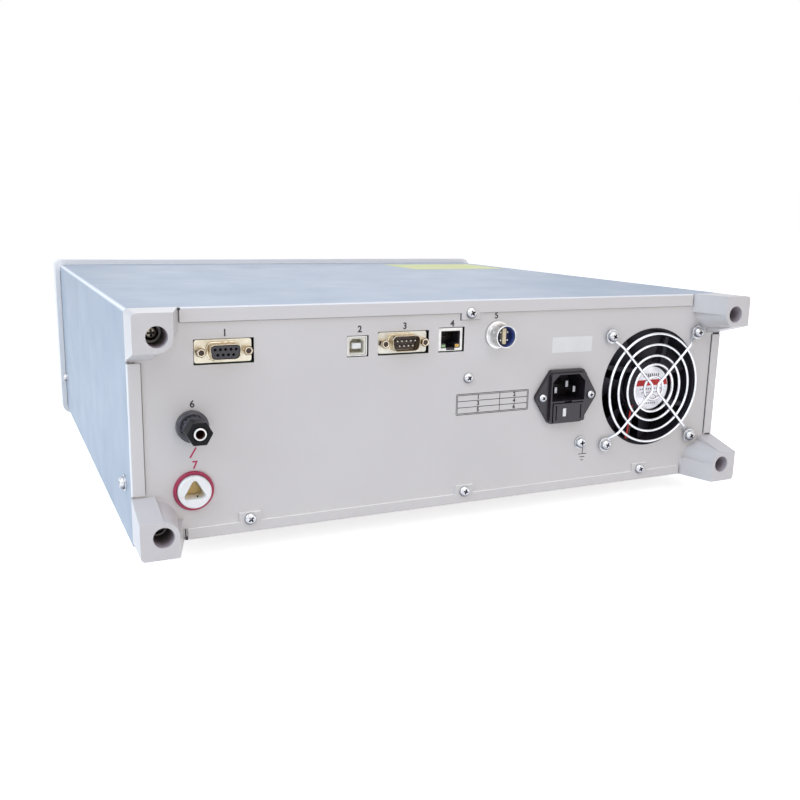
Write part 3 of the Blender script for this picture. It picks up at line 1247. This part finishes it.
def makeDrawer(place):
    # The drawer's front with its grooves, window and thumb tab, and the open tray behind it
    (width, height, corner, foot), (low, high) = inlet["drawer"], inlet["drawerOut"]
    cuts = []
    for side in (-1, 1):
        x, (w, h) = side * inlet["grooveAt"], inlet["groove"]
        cuts.append(block((x - w / 2, -h / 2 + 0.3, high - 1.2), (x + w / 2, h / 2 + 0.3, high + 1)))
    (x, y), (w, h) = inlet["barAt"], inlet["window"]
    cuts.append(block((x - w / 2, y - h / 2, high - 0.6), (x + w / 2, y + h / 2, high + 1)))
    x, y = width / 2, height / 2
    face = outline([(-x, -y, foot), (x, -y, foot), (x, y, corner), (-x, y, corner)], 5)
    front = carve(slab(face, low, high, 0.3), joined(cuts))
    w, h = inlet["tab"]
    tab = slab(rectangle(w, h + 0.6, 0.3), low + 0.2, high - 0.1, 0.3)
    shifted(tab, 0, y - 1 + h / 2 - 0.3)
    inner = outline([(-x, 0.5 - y, foot), (x, 0.5 - y, foot), (x, y - 0.5, 0.3), (0.5 - x, y - 0.5, 0.3)], 5)
    tray = slab(inner, inlet["drawerBack"], low + 0.5)
    w, h, deep = inlet["bay"]
    bays = [block((-w / 2, 1.4 - h / 2, z - deep / 2), (w / 2, 1.4 + h / 2, z + deep / 2))
            for z in inlet["bays"]]
    whole = carve(carve(front, tab, "UNION"), carve(tray, joined(bays)), "UNION")
    finished("fuseDrawer", whole, inletPlastic, ["fuse_drawer"], place, body="fuse_drawer")
    window = slab(rectangle(*inlet["barSize"]), *inlet["barOut"], 0.1)
    shifted(window, *inlet["barAt"])
    finished("fuseDrawerMark", window, tongueWhite, (), place, body="fuse_drawer")


def makeInlet():
    finished("inletBody", softened("inlet_body", inlet["edge"], 3), inletPlastic,
             ["inlet_body"])
    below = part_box("fuse_drawer")
    place = rearSpot((below[0].x + below[1].x) / 2, below[0].z + inlet["drawer"][1] / 2 * mm)
    makeDrawer(place)
    pins = [shifted(slab(rectangle(*inlet["pin"]), inlet["pinBack"], out, 0.28), x, y + inlet["socketUp"])
            for x, y, out in inlet["pins"]]
    finished("inletPins", joined(pins), dullNickel, ["inlet_pins"], place)
    (left, right), (low, high), (under, over) = inlet["seatX"], inlet["seatY"], inlet["seatOut"]
    seats = [block((x0, y0, under), (x1, y1, over)) for x0, x1 in ((-right, -left), (left, right))
             for y0, y1 in ((-high, -low), (low, high))]
    finished("inletSeats", joined(seats), panelPaint, (), onPanel(*inlet["centre"]))
    caps, tubes, threads = [], [], []
    for low, high in islands("fuses"):
        centre, length = (low + high) / 2, (high.x - low.x) / mm
        lie = Matrix.Translation(centre) @ Matrix.Rotation(math.pi / 2, 4, "Y") @ Matrix.Scale(mm, 4)
        r, cap = inlet["fuseRadius"], inlet["capLength"]
        for side in (1, -1):
            shape = lathe([(0, length / 2), (r, length / 2, 0.5), (r, length / 2 - cap, 0.1),
                           (r - 0.25, length / 2 - cap), (r - 0.25, length / 2 - 0.3), (0, length / 2 - 0.3)],
                          3, 32)
            caps.append(moved(shape, lie @ Matrix.Scale(side, 4, (0, 0, 1))))
        half = length / 2 - 0.4
        tubes.append(moved(spin([(r - 0.9, -half), (r - 0.28, -half), (r - 0.28, half), (r - 0.9, half)], 32,
                                closed=True), lie))
        threads.append(moved(spin([(0, -half), (0.12, -half), (0.12, half), (0, half)], 8), lie))
    for name, shapes, finish, slot in (("fuseCaps", caps, nickel, "nickel"),
                                       ("fuseTubes", tubes, tubeGlass, "fuse_glass"),
                                       ("fuseWires", threads, tinPlate, "nickel")):
        whole = joined(shapes)
        bmesh.ops.recalc_face_normals(whole, faces=whole.faces)
        finished(name, whole, finish, ["fuses"] if name == "fuseCaps" else (), body="fuse_drawer")


makeInlet()
print("inlet made")

# Places on the rear panel are (u, h): u along it from its left edge in the photograph, h up from
# the cover's lower edge.
# Grey sealing beads along the folded lips, and black ones in the gaps between the lips and the
# corner feet, each from one place to another and so far out; and the bright cut edges of the
# bottom lip, each from u to u at h
seam = {"beads": ((27.4, 116.85, 191.3, 117.2, 0.25), (203.7, 116.9, 367.3, 117.2, 0.2),
                  (191.4, 112.85, 203.6, 113.2, 0.25), (203.6, 112.9, 204.2, 117.2, 0.3),
                  (7.0, 27.5, 7.6, 97.0, 0.3), (0.9, 97.05, 4.6, 97.7, 0.8)),
        "gaps": ((190.9, 112.8, 191.35, 117.2, 0.3), (387.6, 27.5, 388.0, 97.0, 0.4),
                 (27.0, 117.2, 27.27, 123.3, 0.5), (26.8, 123.3, 27.8, 124.6, 1.2),
                 (367.45, 117.2, 367.8, 124.6, 0.7), (389.0, 97.05, 394.0, 98.0, 0.8),
                 (389.6, 26.75, 393.2, 27.45, 1.0), (27.1, 2.2, 27.5, 6.3, 0.6), (27.1, 0.3, 28.3, 1.9, 1.2),
                 (367.55, 0.3, 367.95, 6.3, 0.7)),
        "edges": ((28.5, 56.3, 6.3), (68.7, 190.8, 6.3), (203.2, 326.3, 6.3), (338.7, 367.4, 6.3),
                  (56.5, 68.5, 11.5), (191.0, 203.0, 11.5), (326.5, 338.5, 11.5)),
        "edgeThick": 0.14, "sheet": 1.2, "sideBead": (0.32, 0.7)}


def makeSeams():
    for name, spots, finish in (("lipSeals", seam["beads"], sealant), ("lipGaps", seam["gaps"], darkGap)):
        beads = [slab(outline([(u0, h0, 0.1), (u1, h0, 0.1), (u1, h1, 0.1), (u0, h1, 0.1)], 3),
                      -0.02, out, 0.1) for u0, h0, u1, h1, out in spots]
        finished(name, joined(beads), finish, (), onPanel(0, 0))
    edges = [block((u0, h - 0.06, 0.06), (u1, h + seam["edgeThick"], seam["sheet"] - 0.06))
             for u0, u1, h in seam["edges"]]
    finished("lipEdges", joined(edges), bareSteel, (), onPanel(0, 0))
    bezelY, (proud, wide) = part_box("front_bezel")[1].y / mm, seam["sideBead"]
    sides = [block((side * sideX / mm - proud, bezelY - 0.05, bottomZ / mm + 3),
                   (side * sideX / mm + proud, bezelY + wide, topZ / mm - 5)) for side in (-1, 1)]
    finished("coverSeals", joined(sides), sealant, (), Matrix.Scale(mm, 4))


# Print and labels; heights and line widths in millimetres
prints = {"numerals": (("1", 50.7, 110.8), ("2", 127.0, 109.9), ("3", 154.9, 110.7), ("4", 185.7, 111.1),
                       ("5", 215.6, 114.9), ("6", 32.7, 74.0)), "numeralHeight": 3.7,
          "outletNumeral": ("7", 33.3, 41.0), "outletHeight": 4.2, "gridCorner": (189.9, 55.4),
          "gridSize": (51.3, 13.1), "gridDivider": 30.4, "gridLine": 0.4, "earthAt": (285.2, 22.5),
          "whiteSticker": (272.2, 95.1, 30.3, 9.8), "bold": 0.15, "gridFigure": 2.5, "inkThick": 0.05,
          "capShare": 0.71, "pointer": (0.9, 6.4), "pointerAt": (32.5, 47.9), "pointerTurn": -31,
          "earthBars": ((0.5, 4.4, 0, 2.2), (6.5, 0.5, 0, 0), (4.0, 0.5, 0, -2.0), (2.0, 0.5, 0, -4.1))}


def numerals(text, height, bold):
    # Figures from the built-in font, centred, as a closed mesh
    curve = bpy.data.curves.new("figures", "FONT")
    curve.body = text
    curve.size = height / prints["capShare"]
    curve.align_x = "CENTER"
    curve.align_y = "CENTER"
    curve.extrude = prints["inkThick"] / 2
    curve.offset = bold
    curve.resolution_u = 5
    holder = bpy.data.objects.new("figures", curve)
    scene.collection.objects.link(holder)
    graph = bpy.context.evaluated_depsgraph_get()
    mesh = bpy.data.meshes.new_from_object(holder.evaluated_get(graph), depsgraph=graph)
    bpy.data.objects.remove(holder)
    bm = bmesh.new()
    bm.from_mesh(mesh)
    bmesh.ops.remove_doubles(bm, verts=bm.verts, dist=1e-4)
    bmesh.ops.recalc_face_normals(bm, faces=bm.faces)
    return bm


def makePrints():
    bold = prints["bold"]
    for spots, height, finish, slot in (
            (prints["numerals"], prints["numeralHeight"], darkInk, "dark_plastic"),
            ([prints["outletNumeral"]], prints["outletHeight"], crimsonInk, "crimson_plastic")):
        for text, u, h in spots:
            finished("numeral." + text, numerals(text, height, bold), finish, (), onPanel(u, h, 0.02))
    mark = moved(bar(*prints["pointer"]), Matrix.Rotation(math.radians(prints["pointerTurn"]), 4, "Z"))
    finished("outletPointer", mark, crimsonInk, (), onPanel(*prints["pointerAt"]))

    (u, h), (width, height), line = prints["gridCorner"], prints["gridSize"], prints["gridLine"]
    parts = []
    for wider, r in ((0, 0.9), (-1.5, 0.5)):
        path = rectangle(width + wider, height + wider, r)
        parts.append(loft(path, [(0, -0.01), (0, 0.04), (line, 0.04), (line, -0.01)], closed=True))
    inner = (width - 1.5, height - 1.5)
    parts.append(bar(line, inner[1], prints["gridDivider"] - width / 2))
    parts += [bar(inner[0], line, 0, side * inner[1] / 6) for side in (-1, 1)]
    place = onPanel(u + width / 2, h + height / 2)
    finished("ratingGrid", joined(parts), darkInk, (), place)
    cells = []
    for row in range(3):
        for column, x in enumerate((prints["gridDivider"] / 2 - width / 2, prints["gridDivider"] / 2)):
            figure = numerals(str(row * 2 + column + 1), prints["gridFigure"], bold)
            cells.append(shifted(figure, x, (1 - row) * inner[1] / 3, 0.015))
    finished("ratingFigures", joined(cells), darkInk, (), place)

    parts = [bar(*spot) for spot in prints["earthBars"]]
    finished("earthMark", joined(parts), darkInk, (), onPanel(*prints["earthAt"]))

    u, h, width, height = prints["whiteSticker"]
    sticker = slab(rectangle(width, height, 0.5), -0.01, 0.1, 0.04)
    sticker.transform(Matrix.Rotation(math.radians(-0.6), 4, "Z"))
    finished("whiteSticker", sticker, whiteLabel, (), onPanel(u, h))


topSticker = {"width": 92.0, "depth": 72.0, "u": 336.0, "fromBezel": 62.0}


def makeTopSticker():
    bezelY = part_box("front_bezel")[1].y
    x, y = sideX - topSticker["u"] * mm, bezelY + topSticker["fromBezel"] * mm
    place = Matrix(((-mm, 0, 0, x), (0, -mm, 0, y), (0, 0, mm, topZ), (0, 0, 0, 1)))
    sheet = slab(rectangle(topSticker["width"], topSticker["depth"], 3), -0.01, 0.1, 0.04)
    finished("topSticker", sheet, yellowLabel, (), place)


makePrints()
makeTopSticker()
makeSeams()
print("prints and labels made")

# Front: display, keypad, knob, buttons and terminals
display = {"size": (150.0, 94.0, 3.0), "windowOut": (0.14, 1.0), "maskWidth": 10.5, "maskOut": (0.02, 0.12),
           "screen": (132, 78, 1), "screenOut": (-3.0, -2.75)}


def makeDisplay():
    place = atFront("display_lens")
    window = slab(rectangle(*display["size"]), *display["windowOut"], 0.3, 0.1)
    finished("displayWindow", window, screenGlass, ["display_lens"], place)
    (low, high), wide = display["maskOut"], display["maskWidth"]
    mask = loft(rectangle(display["size"][0] - 1, display["size"][1] - 1, 2.6),
                [(0, low), (0, high), (wide, high), (wide, low)], closed=True)
    finished("displayMask", mask, blackPlastic, (), place)
    finished("displayModule", softened("display_module", 0.3), charcoalPlastic,
             ["display_module"])
    screen = slab(rectangle(*display["screen"]), *display["screenOut"], 0.1)
    finished("displayScreen", screen, screenFace, (), place)


keypad = {"size": (86.0, 94.0, 3.0), "key": (15.0, 10.5), "pitch": (18.5, 15.0), "firstKey": (-5.0, -35.0),
          "softKey": (12.0, 10.5), "softAt": -33.5, "softPitch": 17.5, "wideKey": (23.0, 11.5),
          "wideAt": (-1.0, 33.0), "widePitch": 28.0, "layout": (".0-", "123", "456", "789"), "softKeys": 5,
          "keyOut": 1.2, "figureHeight": 4.2, "bold": 0.06}


def makeKeypad():
    place = atFront("keypad_overlay")
    finished("keypadFilm", slab(rectangle(*keypad["size"]), 0.02, 0.6, 0.15), keyFilm,
             ["keypad_overlay"], place)
    keys, figures = [], []

    def addKey(width, height, x, y):
        keys.append(shifted(slab(rectangle(width, height, 2), 0.58, keypad["keyOut"], 0.4), x, y))

    (left, low), out = keypad["firstKey"], keypad["keyOut"]
    for i in range(keypad["softKeys"]):
        x, y = keypad["softAt"], low + i * keypad["softPitch"]
        addKey(*keypad["softKey"], x, y)
        figures.append(shifted(bar(4, 0.6, x, y), 0, 0, out - 0.02))
    for row, texts in enumerate(keypad["layout"]):
        for column, text in enumerate(texts):
            x, y = left + column * keypad["pitch"][0], low + row * keypad["pitch"][1]
            addKey(*keypad["key"], x, y)
            figures.append(shifted(numerals(text, keypad["figureHeight"], keypad["bold"]), x, y, out))
    for i in range(2):
        addKey(*keypad["wideKey"], keypad["wideAt"][0] + i * keypad["widePitch"], keypad["wideAt"][1])
    finished("keypadKeys", joined(keys), keyFace, (), place)
    finished("keypadFigures", joined(figures), darkInk, (), place)


knob = {"radius": 17.0, "top": 16.0, "flutes": 24, "fluteDepth": 0.8, "skirtHeight": 3.2, "capRadius": 12.0,
        "dotAt": 8.4}


def makeKnob():
    place = atFront("knob")
    steps = knob["flutes"] * 10
    path = []
    for i in range(steps):
        a = 2 * math.pi * i / steps
        dip = (0.5 - 0.5 * math.cos(a * knob["flutes"])) ** 2
        r = knob["radius"] - 0.6 - knob["fluteDepth"] * dip
        path.append(r * Vector((math.cos(a), math.sin(a))))
    top = knob["top"]
    grip = loft(path, [(0, knob["skirtHeight"] - 0.1), (0, top - 2.4), (0.3, top - 1.4), (1.0, top - 0.5),
                       (2.2, top - 0.05), (3.2, top), (3.9, top - 0.25), (4.1, top - 0.8)])
    skirt = lathe([(0, 1.0), (knob["radius"], 1.0, 0.3), (knob["radius"], knob["skirtHeight"], 0.4),
                   (0, knob["skirtHeight"])], 4, 96)
    finished("knobGrip", joined([grip, skirt]), knobPlastic, ["knob"], place, body="knob")
    cap = lathe([(0, top - 2), (knob["capRadius"], top - 2), (knob["capRadius"], top - 0.5, 0.25),
                 (0, top - 0.5)], 4, 96)
    finished("knobCap", cap, panelAnodised, (), place, body="knob")
    dimple = lathe([(0, top - 0.7), (1.5, top - 0.7), (1.5, top - 0.35, 0.12), (0, top - 0.42)], 4, 32)
    shifted(dimple, 0, knob["dotAt"])
    finished("knobDot", dimple, whiteInk, (), place, body="knob")


buttons = (("start_button", greenPlastic, "green_plastic"), ("stop_button", redPlastic, "red_plastic"),
           ("power_button", bezelPlastic, "bezel_plastic"))


def makeButtons():
    for node, finish, slot in buttons:
        low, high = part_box(node)
        radius = (high.x - low.x) / 2 / mm
        out = (faceY - low.y) / mm
        cap = lathe([(0, out - 12), (radius, out - 12, 0.3), (radius, out, 0.9),
                     (radius * 0.82, out - 0.02, 0.4), (radius * 0.6, out - 0.5, 3), (0, out - 0.75)], 6, 80)
        finished(node.replace("_button", "Button"), cap, finish, [node], atFront(node), body=node)


terminal = {"body": [(2.3, -16), (8, -16), (8, 0.02), (10.5, 0.02), (10.5, 2.6, 1.2), (7.7, 2.7, 0.3),
                     (7.2, 8, 0.7), (5.2, 8, 0.2), (5.2, 5.2), (3.3, 5.2), (3.3, 8, 0.25), (2.3, 8, 0.2)],
            "liner": [(2.0, -16.0), (2.28, -16.0), (2.28, 6.6), (2.0, 6.6)],
            "nut": [(8.1, -7), (10.5, -7, 0.3), (10.5, -3.05, 0.3), (8.1, -3.05)]}


def makeTerminals():
    for i, (low, high) in enumerate(islands("test_terminals")):
        centre = (low + high) / 2
        place = frontSpot(centre.x, centre.z)
        finish, slot = ((crimsonPlastic, "crimson_plastic"), (blackPlastic, "black_plastic"))[i]
        body = lathe(terminal["body"], 5, 80, closed=True)
        finished("terminal." + str(i + 1), body, finish, ["test_terminals"] if i == 0 else (), place)
        liner = spin(terminal["liner"], 40, closed=True)
        finished("terminalSocket." + str(i + 1), liner, gold, (), place)
        nut = lathe(terminal["nut"], 3, 64, closed=True)
        finished("terminalNut." + str(i + 1), nut, blackPlastic, (), place)


makeDisplay()
makeKeypad()
makeKnob()
makeButtons()
makeTerminals()
print("front made")

# Feet, rubber pads and tilt legs
for name, node, finish, radius, slot, body in (
        ("rearFeet", "base_feet_rear", footPlastic, 0.8, "foot_plastic", "case"),
        ("frontFeet", "base_feet_front", footPlastic, 0.8, "foot_plastic", "case"),
        ("rubberPads", "base_foot_pads", padRubber, 0.5, "rubber_pad", "case"),
        ("tiltLeg.right", "tilt_leg_right", footPlastic, 0.5, "foot_plastic", "tilt_leg_right"),
        ("tiltLeg.left", "tilt_leg_left", footPlastic, 0.5, "foot_plastic", "tilt_leg_left")):
    finished(name, softened(node, radius, 3), finish, [node], body=body)
print("feet made")


# Inside
def coat(node, finish):
    # A CAD node that keeps its shape gets its finish
    piece = frame["nodes"][node]
    if not piece.material_slots:
        piece.data.materials.append(finish)
    for held in piece.material_slots:
        held.material = finish


for node, finish in (
        ("side_rail_right", sheetZinc), ("side_rail_left", sheetZinc), ("fan_frame", framePlastic),
        ("main_board", boardGreen), ("power_transformer", sheetZinc), ("hv_module", pottingResin),
        ("capacitor_bank", sleeveBlue), ("hv_relay", relayCase), ("knob_encoder", zinc)):
    coat(node, finish)
print("inside finished")

# Camera at the photograph's place
view = {"lens": 39.922, "sensor": 36, "clip": (0.01, 50), "at": (0.26099, 0.64356, 0.18664),
        "right": (-0.90471, 0.42555, 0.0202), "up": (-0.06972, -0.19466, 0.97839)}


def makeCamera():
    data = bpy.data.cameras.new("photoView")
    data.lens = view["lens"]
    data.sensor_width = view["sensor"]
    data.clip_start, data.clip_end = view["clip"]
    right = Vector(view["right"]).normalized()
    up = Vector(view["up"])
    up = (up - right * up.dot(right)).normalized()
    back = right.cross(up)
    holder = bpy.data.objects.new("photoView", data)
    holder.matrix_world = Matrix(((right.x, up.x, back.x, view["at"][0]),
                                  (right.y, up.y, back.y, view["at"][1]),
                                  (right.z, up.z, back.z, view["at"][2]), (0, 0, 0, 1)))
    scene.collection.objects.link(holder)
    scene.camera = holder


# Soft daylight from a white room, with a large cool sheet of light above
light = {"world": "#F8F8FA", "worldStrength": 0.36, "floorGlow": 0.68, "floorHalf": 12, "aim": (0, 0, 0.08),
         "lamps": (("topSheet", (0.3, 0.5, 1.7), 2.0, 16.5, "#DCE6FF"),
                   ("rearSheet", (-0.4, 1.95, 0.9), 1.8, 8.5, "#FFF0E2"),
                   ("sideSheet", (1.7, 0.5, 1.2), 1.4, 19.3, "#D4E9FC"),
                   ("frontSheet", (-0.7, -1.9, 0.9), 1.4, 3.0, "#FFFFFF"))}


def seenDirectly(tree):
    # One where the camera, a reflection or clear plastic shows the surface, and none elsewhere
    path = addNode(tree, "ShaderNodeLightPath")
    seen = addNode(tree, "ShaderNodeMath", {
        0: path.outputs["Is Camera Ray"], 1: path.outputs["Is Glossy Ray"]}, operation="MAXIMUM")
    return addNode(tree, "ShaderNodeMath", {0: seen.outputs[0], 1: path.outputs["Is Transmission Ray"]},
                   operation="MAXIMUM").outputs[0]


def makeLight():
    world = bpy.data.worlds.new("whiteRoom")
    scene.world = world
    world.use_nodes = True
    tree = world.node_tree
    tree.nodes.clear()
    room = addNode(tree, "ShaderNodeBackground", {"Color": colour(light["world"]),
                                                  "Strength": light["worldStrength"]})
    white = addNode(tree, "ShaderNodeBackground", {"Color": colour("#FFFFFF"), "Strength": 1.0})
    mix = addNode(tree, "ShaderNodeMixShader", {
        0: seenDirectly(tree), 1: room.outputs[0], 2: white.outputs[0]})
    addNode(tree, "ShaderNodeOutputWorld", {"Surface": mix.outputs[0]})
    aim = Vector(light["aim"])
    for name, at, size, power, code in light["lamps"]:
        lamp = bpy.data.lights.new(name, "AREA")
        lamp.shape = "SQUARE"
        lamp.size = size
        lamp.energy = power
        lamp.color = colour(code)[:3]
        holder = bpy.data.objects.new(name, lamp)
        holder.location = at
        holder.rotation_euler = (aim - Vector(at)).to_track_quat("-Z", "Y").to_euler()
        scene.collection.objects.link(holder)


def makeFloor():
    # White studio floor: keeps the object's shadow, and is white to the camera elsewhere
    bm = bmesh.new()
    bmesh.ops.create_grid(bm, x_segments=1, y_segments=1, size=light["floorHalf"])
    piece = bpy.data.objects.new("studioFloor", meshOf("studioFloor", bm))
    scene.collection.objects.link(piece)
    material, tree, shader = newFinish("studioWhite", "#FAFAFA", 0.9)
    shader.inputs["Emission Color"].default_value = colour("#FFFFFF")
    glow = addNode(tree, "ShaderNodeMath", {0: seenDirectly(tree), 1: light["floorGlow"]},
                   operation="MULTIPLY")
    tree.links.new(glow.outputs[0], shader.inputs["Emission Strength"])
    piece.data.materials.append(material)


makeCamera()
makeLight()
makeFloor()
scene.view_settings.view_transform = "Standard"
print("camera, light and floor made")
